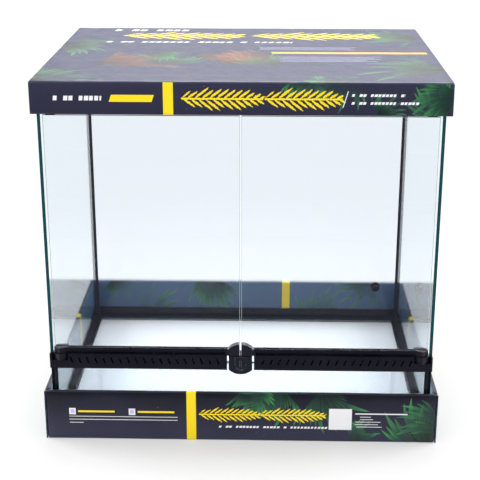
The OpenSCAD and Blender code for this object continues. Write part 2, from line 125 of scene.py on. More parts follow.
def slab(form, low, high, edge_r, step, dent=None, index=0):
    """Adds a closed slab with round edges, in a grid of about step that dent(place, out) can move."""
    bend = 0.3 * edge_r        # where the row in the middle of a round edge lies
    lines = []
    for a, b in zip(low, high):
        span = b - a - 2 * edge_r
        count = max(1, round(span / step))
        inner = [a + edge_r + span * i / count for i in range(count + 1)]
        lines.append([a, a + bend, *inner, b - bend, b])
    made = {}

    def corner(at):
        if at not in made:
            flat = Vector(line[i] for line, i in zip(lines, at))
            core = Vector(min(max(p, a + edge_r), b - edge_r) for p, a, b in zip(flat, low, high))
            out = (flat - core).normalized()
            place = core + out * edge_r
            made[at] = form.verts.new((dent(place, out) if dent else place) * MM)
        return made[at]

    for axis in range(3):
        u, v = (axis + 1) % 3, (axis + 2) % 3
        for end in (0, len(lines[axis]) - 1):
            for i in range(len(lines[u]) - 1):
                for j in range(len(lines[v]) - 1):
                    ring = []
                    for du, dv in ((0, 0), (1, 0), (1, 1), (0, 1)):
                        at = [end, end, end]
                        at[u], at[v] = i + du, j + dv
                        ring.append(corner(tuple(at)))
                    form.faces.new(ring if end else ring[::-1]).material_index = index


HOLLOW, CREASE = 95, 150       # mm from one hollow or crease of handled board to the next
HOLLOW_SHARE, CREASE_SHARE = 0.7, 0.3
CREASE_WIDTH = 0.12            # as a share of the noise that draws the creases


def handled(depth, seed):
    """A dent for slab(): the shallow hollows and soft creases of handled board, depth mm at most."""
    def dent(place, out):
        hollow = 0.5 + 0.5 * noise.noise(place / HOLLOW + Vector((seed, 0, 0)))
        crease = max(0, 1 - abs(noise.noise(place / CREASE + Vector((0, seed, 0)))) / CREASE_WIDTH)
        return place - out * depth * min(1, HOLLOW_SHARE * hollow + CREASE_SHARE * crease * crease)
    return dent


# Printing plates: masks that the printed faces below are put together from. All read millimetres.
# A bar, whose ends can lean:
plate, given, wanted = group("printed bar", "ShaderNodeTree", {
    "Place": "NodeSocketVector", "Middle": "NodeSocketVector", "Half": "NodeSocketVector",
    "Lean": "NodeSocketFloat",
}, {"Mask": "NodeSocketFloat"})
offset = add(plate, "VectorMath", {0: given["Place"], 1: given["Middle"]}, operation="SUBTRACT")
axes = add(plate, "SeparateXYZ", {0: offset})
half = add(plate, "SeparateXYZ", {0: given["Half"]})
slide = add(plate, "Math", {0: axes.outputs[1], 1: given["Lean"]}, operation="MULTIPLY")
across = add(plate, "Math", {0: axes.outputs[0], 1: slide}, operation="SUBTRACT")
masks = []
for value, limit in ((across, half.outputs[0]), (axes.outputs[1], half.outputs[1])):
    size = add(plate, "Math", {0: value}, operation="ABSOLUTE")
    room = add(plate, "Math", {0: limit, 1: size}, operation="SUBTRACT")
    # the ink's edge softens over a third of a millimetre
    masks.append(add(plate, "Math", {0: room, 1: 3.0, 2: 0.5}, operation="MULTIPLY_ADD", use_clamp=True))
both = add(plate, "Math", {0: masks[0], 1: masks[1]}, operation="MULTIPLY")
plate.links.new(both.outputs[0], wanted["Mask"])
bar_plate = plate

# Long leaves that fan out from a root, each with its own length:
plate, given, wanted = group("tuft of long leaves", "ShaderNodeTree", {
    "Place": "NodeSocketVector", "Root": "NodeSocketVector",
    **dict.fromkeys(("Facing", "Reach", "Spread", "Leaves per radian", "Leaf width", "Bend", "Seed"),
                    "NodeSocketFloat"),
}, dict.fromkeys(("Mask", "Along", "Tone"), "NodeSocketFloat"))
offset = add(plate, "VectorMath", {0: given["Place"], 1: given["Root"]}, operation="SUBTRACT")
facing = add(plate, "Math", {0: given["Facing"], 1: -1.0}, operation="MULTIPLY")
turned = add(plate, "VectorRotate", {"Vector": offset, "Angle": facing}, rotation_type="Z_AXIS")
axes = add(plate, "SeparateXYZ", {0: turned})
radius = add(plate, "VectorMath", {0: turned}, operation="LENGTH").outputs["Value"]
share = add(plate, "Math", {0: radius, 1: given["Reach"]}, operation="DIVIDE")
angle = add(plate, "Math", {0: axes.outputs[1], 1: axes.outputs[0]}, operation="ARCTAN2")
curl = add(plate, "Math", {0: share, 1: given["Bend"], 2: angle}, operation="MULTIPLY_ADD")
count = add(plate, "Math", {0: curl, 1: given["Leaves per radian"]}, operation="MULTIPLY")
leaf = add(plate, "Math", {0: count}, operation="FLOOR")
seed = add(plate, "Math", {0: leaf, 1: given["Seed"]}, operation="ADD")
chance = add(plate, "TexWhiteNoise", {"W": seed}, noise_dimensions="1D")
# the leaves are half to all of the tuft's reach
reach = add(plate, "Math", {0: chance.outputs["Value"], 1: 0.5, 2: 0.5}, operation="MULTIPLY_ADD")
along = add(plate, "Math", {0: share, 1: reach}, operation="DIVIDE")
left = add(plate, "Math", {0: 1.0, 1: along}, operation="SUBTRACT", use_clamp=True)
swell = add(plate, "Math", {0: along, 1: left}, operation="MULTIPLY")
width = add(plate, "Math", {0: swell, 1: given["Leaf width"]}, operation="MULTIPLY")
middle = add(plate, "Math", {0: leaf, 1: 0.5}, operation="ADD")
aside = add(plate, "Math", {0: count, 1: middle}, operation="SUBTRACT")
arc = add(plate, "Math", {0: aside, 1: given["Leaves per radian"]}, operation="DIVIDE")
across = add(plate, "Math", {0: arc, 1: radius}, operation="MULTIPLY")
away = add(plate, "Math", {0: across}, operation="ABSOLUTE")
room = add(plate, "Math", {0: width, 1: away}, operation="SUBTRACT")
inside = add(plate, "Math", {0: room, 1: 1.6}, operation="MULTIPLY", use_clamp=True)
swing = add(plate, "Math", {0: angle}, operation="ABSOLUTE")
fan = add(plate, "Math", {0: swing, 1: given["Spread"]}, operation="LESS_THAN")
mask = add(plate, "Math", {0: inside, 1: fan}, operation="MULTIPLY")
# one half of each leaf is lighter than the other, as it is folded along its midrib
fold = add(plate, "Math", {0: across, 1: 0.0}, operation="GREATER_THAN")
tone = add(plate, "Math", {0: fold, 1: 0.35, 2: chance.outputs["Value"]}, operation="MULTIPLY_ADD")
for made, label in ((mask, "Mask"), (along, "Along"), (tone, "Tone")):
    plate.links.new(made.outputs[0], wanted[label])
tuft_plate = plate

# A sprig as if painted with a brush: a stalk with short leaves on either side of it:
plate, given, wanted = group("brushed sprig", "ShaderNodeTree", {
    "Place": "NodeSocketVector", "Root": "NodeSocketVector",
    **dict.fromkeys(("Length", "Reach", "Pitch", "Lean", "Brush"), "NodeSocketFloat"),
}, {"Mask": "NodeSocketFloat"})
# the bristles shake the outline
bristle = add(plate, "TexNoise", {
    "Vector": given["Place"], "Scale": 0.5, "Detail": 3.0}, noise_dimensions="2D")
shake = add(plate, "VectorMath", {0: bristle.outputs["Color"], 1: (0.5, 0.5, 0.5)}, operation="SUBTRACT")
push = add(plate, "VectorMath", {0: shake, "Scale": given["Brush"]}, operation="SCALE")
moved = add(plate, "VectorMath", {0: given["Place"], 1: push}, operation="ADD")
offset = add(plate, "VectorMath", {0: moved, 1: given["Root"]}, operation="SUBTRACT")
axes = add(plate, "SeparateXYZ", {0: offset})
up = add(plate, "Math", {0: axes.outputs[1]}, operation="ABSOLUTE")
side = add(plate, "Math", {0: axes.outputs[1], 1: 0.0}, operation="GREATER_THAN")
slide = add(plate, "Math", {0: up, 1: given["Lean"]}, operation="MULTIPLY")
run = add(plate, "Math", {0: axes.outputs[0], 1: slide}, operation="SUBTRACT")
share = add(plate, "Math", {0: run, 1: given["Length"]}, operation="DIVIDE")
steps = add(plate, "Math", {0: run, 1: given["Pitch"]}, operation="DIVIDE")
count = add(plate, "Math", {0: side, 1: 0.5, 2: steps}, operation="MULTIPLY_ADD")
leaf = add(plate, "Math", {0: count}, operation="FLOOR")
# the leaves below the stalk have other numbers than those above it, so they draw other lengths
seed = add(plate, "Math", {0: side, 1: 17.0, 2: leaf}, operation="MULTIPLY_ADD")
chance = add(plate, "TexWhiteNoise", {"W": seed}, noise_dimensions="1D")
# the leaves are longest a third of the way along, and small at the tip
grown = add(plate, "FloatCurve", {"Value": share})
for at, size in ((0.33, 1.0), (0.8, 0.7)):
    grown.mapping.curves[0].points.new(at, size)
grown.mapping.curves[0].points[0].location = (0, 0.62)
grown.mapping.curves[0].points[-1].location = (1, 0.3)
grown.mapping.update()
tall = add(plate, "Math", {0: chance.outputs["Value"], 1: 0.3, 2: 0.7}, operation="MULTIPLY_ADD")
size = add(plate, "Math", {0: tall, 1: grown}, operation="MULTIPLY")
reach = add(plate, "Math", {0: size, 1: given["Reach"]}, operation="MULTIPLY")
along = add(plate, "Math", {0: up, 1: reach}, operation="DIVIDE")
left = add(plate, "Math", {0: 1.0, 1: along}, operation="SUBTRACT")
belly = add(plate, "Math", {0: along, 1: left}, operation="MULTIPLY")
middle = add(plate, "Math", {0: leaf, 1: 0.5}, operation="ADD")
aside = add(plate, "Math", {0: count, 1: middle}, operation="SUBTRACT")
# each leaf bends back towards the root, and its middle stands off the middle of its pitch
bend = add(plate, "Math", {0: along, 1: -0.35, 2: aside}, operation="MULTIPLY_ADD")
away = add(plate, "Math", {0: bend, 1: 0.12}, operation="ADD")
thin = add(plate, "Math", {0: away}, operation="ABSOLUTE")
room = add(plate, "Math", {0: belly, 1: 1.15}, operation="MULTIPLY")
spare = add(plate, "Math", {0: room, 1: thin}, operation="SUBTRACT")
blade = add(plate, "Math", {0: spare, 1: 14.0, 2: 0.3}, operation="MULTIPLY_ADD", use_clamp=True)
# the stalk's half width is 7 hundredths of the reach
stalk_half = add(plate, "Math", {0: given["Reach"], 1: 0.07}, operation="MULTIPLY")
stalk = add(plate, "Math", {0: up, 1: stalk_half}, operation="LESS_THAN")
drawn = add(plate, "Math", {0: blade, 1: stalk}, operation="MAXIMUM")
after = add(plate, "Math", {0: share, 1: 0.0}, operation="GREATER_THAN")
before = add(plate, "Math", {0: share, 1: 1.0}, operation="LESS_THAN")
between = add(plate, "Math", {0: after, 1: before}, operation="MULTIPLY")
mask = add(plate, "Math", {0: drawn, 1: between}, operation="MULTIPLY")
plate.links.new(mask.outputs[0], wanted["Mask"])
sprig_plate = plate

# A row of plain dashes of uneven length:
plate, given, wanted = group("row of dashes", "ShaderNodeTree", {
    "Place": "NodeSocketVector", "Root": "NodeSocketVector",
    **dict.fromkeys(("Length", "Half", "Pitch", "Lean"), "NodeSocketFloat"),
}, {"Mask": "NodeSocketFloat"})
offset = add(plate, "VectorMath", {0: given["Place"], 1: given["Root"]}, operation="SUBTRACT")
axes = add(plate, "SeparateXYZ", {0: offset})
slide = add(plate, "Math", {0: axes.outputs[1], 1: given["Lean"]}, operation="MULTIPLY")
run = add(plate, "Math", {0: axes.outputs[0], 1: slide}, operation="SUBTRACT")
steps = add(plate, "Math", {0: run, 1: given["Pitch"]}, operation="DIVIDE")
dash = add(plate, "Math", {0: steps}, operation="FLOOR")
chance = add(plate, "TexWhiteNoise", {"W": dash}, noise_dimensions="1D").outputs["Value"]
part = add(plate, "Math", {0: steps}, operation="FRACT")
# each dash fills 55 to 85 hundredths of its pitch, and about one in six is left out
filled = add(plate, "Math", {0: chance, 1: 0.3, 2: 0.55}, operation="MULTIPLY_ADD")
printed_part = add(plate, "Math", {0: part, 1: filled}, operation="LESS_THAN")
kept = add(plate, "Math", {0: chance, 1: 0.16}, operation="GREATER_THAN")
up = add(plate, "Math", {0: axes.outputs[1]}, operation="ABSOLUTE")
level = add(plate, "Math", {0: up, 1: given["Half"]}, operation="LESS_THAN")
after = add(plate, "Math", {0: run, 1: 0.0}, operation="GREATER_THAN")
before = add(plate, "Math", {0: run, 1: given["Length"]}, operation="LESS_THAN")
mask = printed_part
for other in (kept, level, after, before):
    mask = add(plate, "Math", {0: mask, 1: other}, operation="MULTIPLY")
plate.links.new(mask.outputs[0], wanted["Mask"])
row_plate = plate

INK = {"yellow": "#fbdc08", "white": "#ebebee", "lilac": "#c3c0e8", "amber": "#e9b92c"}
LEAF_INKS = {"green": ("#081613", "#1b4a37", "#46a055"), "rust": ("#1d110f", "#6e3c22", "#c57c48")}
LEAF_SHADE = "#0b1211"
DUST_INK = "#8d8fae"
FLUTE_PITCH, DUST_PITCH, RIPPLE, CLOUD = 3.2, 13, 30, 90


def printed(name, flat, ground, tufts=(), sprigs=(), bars=(), rows=()):
    """Varnished print on board: a dark ground that shifts up the sheet, then leaves, sprigs, rows and bars.

    flat names the two object axes that the sheet lies along, and ground gives two heights on it with their
    colours, which on the tray hold painted light besides ink. The lists hold, in millimetres and degrees:
    tufts: ink, root, facing, reach, spread, leaves per radian, leaf width, bend
    sprigs: ink, root, length, reach of the leaves, pitch, lean
    rows: ink, root, length, half height, pitch, lean
    bars: ink, middle, half width and half height, lean
    """
    material, tree, held = blank(name)
    scaled = add(tree, "VectorMath", {0: held, "Scale": 1 / MM}, operation="SCALE")
    axes = add(tree, "SeparateXYZ", {0: scaled})
    across, up = (axes.outputs["XYZ".index(axis)] for axis in flat)
    place = add(tree, "CombineXYZ", {0: across, 1: up})
    cloud = add(tree, "TexNoise", {
        "Vector": place, "Scale": 1 / CLOUD, "Detail": 4.0}, noise_dimensions="2D")
    (low, low_colour), (high, high_colour) = ground
    # clouds shift the height that the ground's colour is read at, by up to 3 tenths of its range either way
    shift = 0.3 * (high - low)
    drift = add(tree, "Math", {0: cloud, 1: 2 * shift, 2: up}, operation="MULTIPLY_ADD")
    rise = add(tree, "MapRange", {"Value": drift, "From Min": low + shift, "From Max": high + shift})
    colour = add(tree, "Mix", {
        "Factor": rise, "A": linear(low_colour), "B": linear(high_colour)}, data_type="RGBA")
    # pale specks where dust has rubbed the varnish
    fleck = add(tree, "TexVoronoi", {"Vector": place, "Scale": 1 / DUST_PITCH})
    chosen = add(tree, "SeparateXYZ", {0: fleck.outputs["Color"]})
    reach = add(tree, "MapRange", {
        "Value": chosen.outputs[0], "From Min": 0.55, "From Max": 1.0, "To Min": 0.0, "To Max": 0.07})
    dust = add(tree, "Math", {0: fleck.outputs["Distance"], 1: reach}, operation="LESS_THAN")
    faint = add(tree, "Math", {0: dust, 1: 0.3}, operation="MULTIPLY")
    colour = add(tree, "Mix", {
        "Factor": faint, "A": colour.outputs["Result"], "B": linear(DUST_INK)}, data_type="RGBA")
    # the leaves sink into the ground in places
    fade = add(tree, "MapRange", {
        "Value": cloud, "From Min": 0.33, "From Max": 0.58, "To Min": 0.25, "To Max": 1.0})
    for i, (ink, root, facing, reach, spread, density, width, bend) in enumerate(tufts):
        leaves = add(tree, "Group", {
            "Place": place, "Root": (*root, 0), "Facing": math.radians(facing), "Reach": reach,
            "Spread": math.radians(spread), "Leaves per radian": density, "Leaf width": width, "Bend": bend,
            "Seed": 7.3 * i}, node_tree=tuft_plate)
        tint = add(tree, "ValToRGB", {"Fac": leaves.outputs["Along"]})
        tint.color_ramp.elements.new(0.55)
        for stop, code in zip(tint.color_ramp.elements, LEAF_INKS[ink]):
            stop.color = linear(code)
        shade = add(tree, "Mix", {
            "Factor": leaves.outputs["Tone"], "A": linear(LEAF_SHADE), "B": tint}, data_type="RGBA")
        mask = add(tree, "Math", {0: leaves.outputs["Mask"], 1: fade}, operation="MULTIPLY")
        colour = add(tree, "Mix", {
            "Factor": mask, "A": colour.outputs["Result"], "B": shade.outputs["Result"]}, data_type="RGBA")
    stamps = []
    for ink, root, length, reach, pitch, lean in sprigs:
        stamps.append((ink, sprig_plate, {"Root": (*root, 0), "Length": length, "Reach": reach,
                                          "Pitch": pitch, "Lean": lean, "Brush": 0.14 * reach}))
    for ink, root, length, half, pitch, lean in rows:
        stamps.append((ink, row_plate, {"Root": (*root, 0), "Length": length, "Half": half,
                                        "Pitch": pitch, "Lean": lean}))
    for ink, middle, half, lean in bars:
        stamps.append((ink, bar_plate, {"Middle": (*middle, 0), "Half": (*half, 0), "Lean": lean}))
    for ink, plate, values in stamps:
        mask = add(tree, "Group", {"Place": place, **values}, node_tree=plate)
        colour = add(tree, "Mix", {
            "Factor": mask, "A": colour.outputs["Result"], "B": linear(INK[ink])}, data_type="RGBA")
    # the flutes inside the board telegraph through the liner, under a slightly wavy varnish; a wave
    # texture has 20 / (2 pi) waves to the unit
    flute = add(tree, "TexWave", {
        "Vector": place, "Scale": 2 * math.pi / FLUTE_PITCH / 20, "Distortion": 0.4, "Detail": 1.0})
    sheet = add(tree, "TexNoise", {
        "Vector": place, "Scale": 1 / RIPPLE, "Detail": 2.0}, noise_dimensions="2D")
    relief = add(tree, "Math", {0: flute, 1: 0.06, 2: sheet}, operation="MULTIPLY_ADD")
    bump = add(tree, "Bump", {"Height": relief, "Strength": 0.25, "Distance": 1.0 * MM})
    dull = add(tree, "MapRange", {
        "Value": sheet, "From Min": 0.3, "From Max": 0.7, "To Min": 0.28, "To Max": 0.4})
    varnish = add(tree, "BsdfPrincipled", {
        "Base Color": colour.outputs["Result"], "Roughness": dull.outputs[0], "IOR": 1.45, "Normal": bump})
    add(tree, "OutputMaterial", {"Surface": varnish})
    return material


# Kraft liner, raw: the fibres are 6 mm long and 1.2 mm apart, coarser than real ones so that they show.
kraft, tree, held = blank("raw kraft board")
fibre_place = add(tree, "Mapping", {
    "Vector": held, "Scale": (1 / (6 * MM), 1 / (1.2 * MM), 1 / (1.2 * MM))})
fibre = add(tree, "TexNoise", {"Vector": fibre_place, "Scale": 1.0, "Detail": 5.0})
paper = add(tree, "Mix", {
    "Factor": fibre, "A": linear("#8f6443"), "B": linear("#d2a37c")}, data_type="RGBA")
nap = add(tree, "Bump", {"Height": fibre, "Strength": 0.3, "Distance": 0.3 * MM})
raw = add(tree, "BsdfPrincipled", {
    "Base Color": paper.outputs["Result"], "Roughness": 0.85, "Normal": nap})
add(tree, "OutputMaterial", {"Surface": raw})

wall_low, wall_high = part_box("tray_front_wall")
tray_x, tray_y = (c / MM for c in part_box("tray_right_wall")[1][:2])
tray_t = (wall_high.y - wall_low.y) / MM
tray_h = wall_high.z / MM
STRIPE = (-77.6, 7.4)          # middle and half width of the yellow stripe
# painted reflection: outside, the tray's ground is lighter towards its foot and darkest at the rim, as the
# bright floor in front would show in the varnish
TRAY_GROUND_PAINTED_GLOW = ((0, "#2b2b45"), (tray_h, "#0c0c1c"))
# painted veil of light: inside, the ground is lighter and bluer than outside, and lighter still towards the
# rim, as walls seen through glass look
TRAY_INSIDE_PAINTED_VEIL = ((0, "#3d5878"), (tray_h, "#486484"))
RULES = ((45.0, 197, 8.5), (40.6, 199, 10), (36.2, 201, 20), (31.8, 199, 18), (27.4, 203, 20))
RULE_HALF = 0.5                # half the thickness of a thin printed rule; RULES gives height, middle, half
tray_front_print = printed("varnished print and painted light, tray front", "XZ", TRAY_GROUND_PAINTED_GLOW, tufts=[
    ("green", (300, -12), 118, 105, 46, 8, 22, 0.5), ("green", (322, 20), 150, 85, 34, 7, 20, -0.6),
    ("green", (60, 100), 250, 84, 60, 9, 18, 0.5), ("green", (128, 96), 285, 92, 50, 8, 18, -0.4),
    ("green", (10, 96), 285, 60, 60, 9, 15, 0.3), ("green", (180, -6), 70, 52, 42, 9, 14, 0.5),
], sprigs=[("yellow", (-66, 46.5), 96, 15, 8.5, 1.0), ("yellow", (31, 46.5), 102, 15, 8.5, 1.0),
], bars=[
    ("yellow", (STRIPE[0], tray_h / 2), (STRIPE[1], tray_h), 0),
    *[("white", (x, 49.4), (5.2, 5.7), 0) for x in (-266, -171.5)],
    *[("lilac", (x, 49.4), (3.0, 3.6), 0) for x in (-266, -171.5)],
    *[("yellow", (x, 49.4), (29, 1.6), 0) for x in (-228, -133.5)],
    ("white", (-185.5, 40.6), (86, RULE_HALF), 0), ("white", (-185.5, 35.2), (86, RULE_HALF), 0),
    ("white", (-260, 29.6), (11, RULE_HALF), 0),
    ("white", (157.6, 40.5), (18, 18.5), 0), ("white", (222, 50.5), (41, 1.0), 0),
    *[("white", (x, z), (half, RULE_HALF), 0) for z, x, half in RULES],
], rows=[("white", (-34, 25), 172, 1.7, 5.4, 0.35)])
tray_prints = [tray_front_print]
# each rear and end wall has an outside print with the painted reflection and an inside print with the
# painted veil of light
for face, ground in (("outside", TRAY_GROUND_PAINTED_GLOW), ("inside", TRAY_INSIDE_PAINTED_VEIL)):
    tray_prints.append(printed(f"varnished print, tray back, {face}", "XZ", ground, tufts=[
        ("green", (-190, -8), 62, 100, 50, 8, 20, 0.5), ("green", (-60, 98), 262, 88, 60, 9, 17, -0.5),
        ("green", (150, -8), 110, 92, 55, 8, 20, 0.5), ("green", (240, 96), 240, 80, 50, 9, 17, 0.4),
        ("green", (-255, 96), 290, 60, 60, 9, 17, 0.4),
    ], bars=[("yellow", (-STRIPE[0], tray_h / 2), (STRIPE[1], tray_h), 0)]))
    tray_prints.append(printed(f"varnished print, tray ends, {face}", "YZ", ground, tufts=[
        ("green", (-215, -8), 70, 96, 55, 8, 20, 0.5), ("green", (-120, 98), 270, 88, 60, 9, 17, -0.5),
        ("green", (130, -8), 110, 92, 55, 8, 20, 0.5),
    ], bars=[("yellow", (60, tray_h / 2), (STRIPE[1], tray_h), 0)]))

# the prints' places in tray_prints, and the raw board after them
FRONT, BACK, ENDS = 0, 1, 2
INSIDE = 2                     # the inside print of a wall comes this many places after its outside print
RAW = len(tray_prints)

RIM_R = 3.2
PLY = 2.8                      # the outer ply of each end wall laps the long walls' ends
PLY_R = 0.8
LAP = 0.3                      # the ply's clearance from the wall behind it and from the long walls
PLY_BACK, PLY_DOWN = 0.7, 1.2  # the ply's cut ends stop short of the tray's faces and rim
GRID = 9
UPWARD = 0.7                   # the least normal.z of a face that lies flat
INWARD = -100                  # a face that looks back at the tray's middle, from this many mm away or more
long_x = tray_x - PLY
form = bmesh.new()
for side, index in ((-1, FRONT), (1, BACK)):
    y = sorted((side * tray_y, side * (tray_y - tray_t)))
    slab(form, (-long_x, y[0], 0), (long_x, y[1], tray_h), RIM_R, GRID, handled(0.7, 3 + side), index)
for side in (-1, 1):
    x = sorted((side * tray_x, side * (tray_x - tray_t)))
    inner_y = tray_y - tray_t - LAP
    slab(form, (x[0], -inner_y, 0), (x[1], inner_y, tray_h), RIM_R, GRID, handled(0.7, 9 + side), ENDS)
    for end in (-1, 1):
        x = sorted((side * tray_x, side * (tray_x - PLY + LAP)))
        y = sorted((end * (tray_y - PLY_BACK), end * inner_y))
        slab(form, (x[0], y[0], 0), (x[1], y[1], tray_h - PLY_DOWN), PLY_R, GRID,
             handled(0.3, side + 5 * end), ENDS)
low, high = (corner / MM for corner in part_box("tray_floor"))
slab(form, low, high, 0.4, 20, None, RAW)
form.normal_update()
for face in form.faces:
    middle = face.calc_center_median() / MM
    if face.normal.z > UPWARD and middle.z < high.z + 1:
        # the top of the floor
        face.material_index = FRONT
    elif face.normal.z > UPWARD and abs(middle.x) > long_x and tray_h - 2 < middle.z < tray_h - 1:
        # the cut upper ends of the outer plies
        face.material_index = RAW
    elif face.material_index in (BACK, ENDS) and face.normal.dot((middle.x, middle.y, 0)) < INWARD:
        # the inside of the rear and end walls takes the lighter, bluer inside ground: a painted veil of
        # light
        face.material_index += INSIDE
tray = solid("carton_tray", form, *tray_prints, kraft)
mounted(tray, "tray", "carton_board", *[f"tray_{part}" for part in
        ("floor", "front_wall", "rear_wall", "left_wall", "right_wall")])

# ---- foam pad ----
# White expanded polyethylene sheet, knife cut, that the floor pane lies over in the carton. Its skin
# shows the closed beads that it was blown from.

PAD_R = 0.9
PAD_INSET = Vector((0.4, 0.4, 0))
PAD_PRESSED = Vector((0, 0, 0.2))      # the pane presses the sheet down by this much
BEAD = 3.5
pad_low, pad_high = (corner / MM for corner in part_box("floor_pad"))
form = bmesh.new()
slab(form, pad_low + PAD_INSET, pad_high - PAD_INSET - PAD_PRESSED, PAD_R, 11, handled(0.5, 21))
foam, tree, held = blank("white polyethylene foam")
bead = add(tree, "TexVoronoi", {"Vector": held, "Scale": 1 / (BEAD * MM)})
sink = add(tree, "Mix", {
    "Factor": bead.outputs["Distance"], "A": linear("#fafcfd"), "B": linear("#f1f5f8")}, data_type="RGBA")
pores = add(tree, "Bump", {"Height": bead.outputs["Distance"], "Strength": 0.4, "Distance": 0.5 * MM})
skin = add(tree, "BsdfPrincipled", {
    "Base Color": sink.outputs["Result"], "Roughness": 0.6, "IOR": 1.45, "Normal": pores})
add(tree, "OutputMaterial", {"Surface": skin})
pad = solid("foam_pad", form, foam)
mounted(pad, "tray", "white_foam", "floor_pad")

# ---- base frame ----
# Black ABS, injection moulded in one piece, with a fine spark-eroded grain on its outside. The glass
# sits in its pocket on a bed of silicone.

SHARP = math.radians(32)       # edges that turn by more than this are eased


def eased(node, edge, chosen=None, wide=0.0, moved=None):
    """A CAD piece's mesh with a flat bevel on the sharp edges that chosen() picks, and the rest rounded.

    Before that, moved() may shift its corners: it takes a place in millimetres and returns another.
    """
    form = bmesh.new()
    form.from_mesh(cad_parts[node].data)
    for vert in form.verts if moved else ():
        vert.co = moved(vert.co / MM) * MM
    bmesh.ops.remove_doubles(form, verts=form.verts, dist=0.002 * MM)
    bmesh.ops.dissolve_limit(form, angle_limit=math.radians(1), verts=form.verts, edges=form.edges)
    flat_bevel = [(chosen, wide, 1)] if chosen else []
    for pick, size, segments in (*flat_bevel, (None, edge, 2)):
        sharp = [e for e in form.edges if len(e.link_faces) == 2 and e.calc_face_angle() > SHARP]
        sharp = [e for e in sharp if not pick or pick(e)]
        bmesh.ops.bevel(form, geom=sharp, offset=size * MM, segments=segments, affect="EDGES",
                        profile=0.5, clamp_overlap=True)
    return form


def flat_faced(made):
    """Bends an object's shading to its largest faces, so that flats stay flat beside rounded edges."""
    made.modifiers.new("flats", "WEIGHTED_NORMAL").keep_sharp = True
    return finished(made)


def moulding(node, body, slot, material, edge, made="moulding", **shaping):
    """Replaces a CAD piece with its eased copy in one material."""
    form = eased(node, edge, **shaping)
    return mounted(flat_faced(solid(f"{node}_{made}", form, material)), body, slot, node)


def moulded(name, dark, light, rough, grain_mm, depth_mm, shine=0.5, coat=0.0):
    """Moulded polymer: the tool's grain in fine relief, and a faintly uneven tone and gloss."""
    material, tree, held = blank(name)
    grain = add(tree, "TexNoise", {"Vector": held, "Scale": 1 / (grain_mm * MM), "Detail": 2.0})
    flow = add(tree, "TexNoise", {"Vector": held, "Scale": 1 / (40 * MM), "Detail": 2.0})
    tone = add(tree, "Mix", {"Factor": flow, "A": linear(dark), "B": linear(light)}, data_type="RGBA")
    gloss = add(tree, "MapRange", {
        "Value": flow, "From Min": 0.3, "From Max": 0.7, "To Min": rough - 0.05, "To Max": rough + 0.05})
    relief = add(tree, "Bump", {"Height": grain, "Strength": 0.3, "Distance": depth_mm * MM})
    polymer = add(tree, "BsdfPrincipled", {
        "Base Color": tone.outputs["Result"], "Roughness": gloss.outputs[0], "IOR": 1.52,
        "Specular IOR Level": shine, "Coat Weight": coat, "Normal": relief})
    add(tree, "OutputMaterial", {"Surface": polymer})
    return material


frame_abs = moulded("black ABS, eroded grain", "#060509", "#0a0910", 0.42, 0.9, 0.06, 0.16)
moulding("base_frame", "tank", "frame_plastic", frame_abs, 0.6)

# ---- glass box ----
# Float glass panes with ground edges. Seen through its faces the glass is clear with a cool cast, and its
# edges are deep blue-green, because light that leaves by them has crossed the whole pane. The rear and
# floor panes mirror only a part of what real ones would, so that the inside stays clear to see.


def float_glass(name, cast, mirror=1.0):
    """Clear float glass that lamps shine straight through. The share mirror of it reflects and bends."""
    material, tree, _ = blank(name)
    seen = add(tree, "LightPath")
    clear = add(tree, "BsdfPrincipled", {
        "Base Color": linear(cast), "Roughness": 0.0, "IOR": 1.5, "Transmission Weight": 1.0})
    plain = add(tree, "BsdfTransparent", {"Color": linear(cast)})
    looked = add(tree, "MixShader", {0: mirror, 1: plain, 2: clear})
    lit = add(tree, "BsdfTransparent", {"Color": (0.985, 0.99, 0.995, 1.0)})
    lamp = add(tree, "Math", {
        0: seen.outputs["Is Shadow Ray"], 1: seen.outputs["Is Diffuse Ray"]}, operation="MAXIMUM")
    pane_glass = add(tree, "MixShader", {0: lamp, 1: looked, 2: lit})
    add(tree, "OutputMaterial", {"Surface": pane_glass})
    return material


def ground_edge(name, dark, light, rough=0.16):
    """The ground, half polished edge of a pane: fine grinding lines over the colour of the glass."""
    material, tree, held = blank(name)
    lines = add(tree, "TexNoise", {"Vector": held, "Scale": 1 / (2.5 * MM), "Detail": 4.0})
    depth = add(tree, "Mix", {"Factor": lines, "A": linear(dark), "B": linear(light)}, data_type="RGBA")
    scratch = add(tree, "Bump", {"Height": lines, "Strength": 0.2, "Distance": 0.1 * MM})
    edge = add(tree, "BsdfPrincipled", {
        "Base Color": depth.outputs["Result"], "Roughness": rough, "IOR": 1.52, "Normal": scratch})
    add(tree, "OutputMaterial", {"Surface": edge})
    return material


ARRIS = 0.5                    # the flat or round ground along a pane's edges
CLEAR = 0.99                   # the least part of its normal that a clear face has along the thin axis


def pane(node, thin, body, slot, *materials, smeared=None, top=0.0):
    """Replaces a CAD pane: its two faces across the thin axis are clear, the rest of it is ground.

    The ground faces that smeared(middle) picks, in millimetres, and that lie under top, carry the third
    material.
    """
    form = eased(node, ARRIS)
    if smeared:
        bmesh.ops.bisect_plane(form, geom=[*form.verts, *form.edges, *form.faces],
                               plane_co=(0, 0, top * MM), plane_no=(0, 0, 1))
    made = solid(f"{node}_pane", form, *materials, smooth=20)
    for polygon in made.data.polygons:
        if abs(polygon.normal[thin]) < CLEAR:
            middle = polygon.center / MM
            polygon.material_index = 2 if smeared and middle.z < top and smeared(middle) else 1
    return mounted(made, body, slot, node)


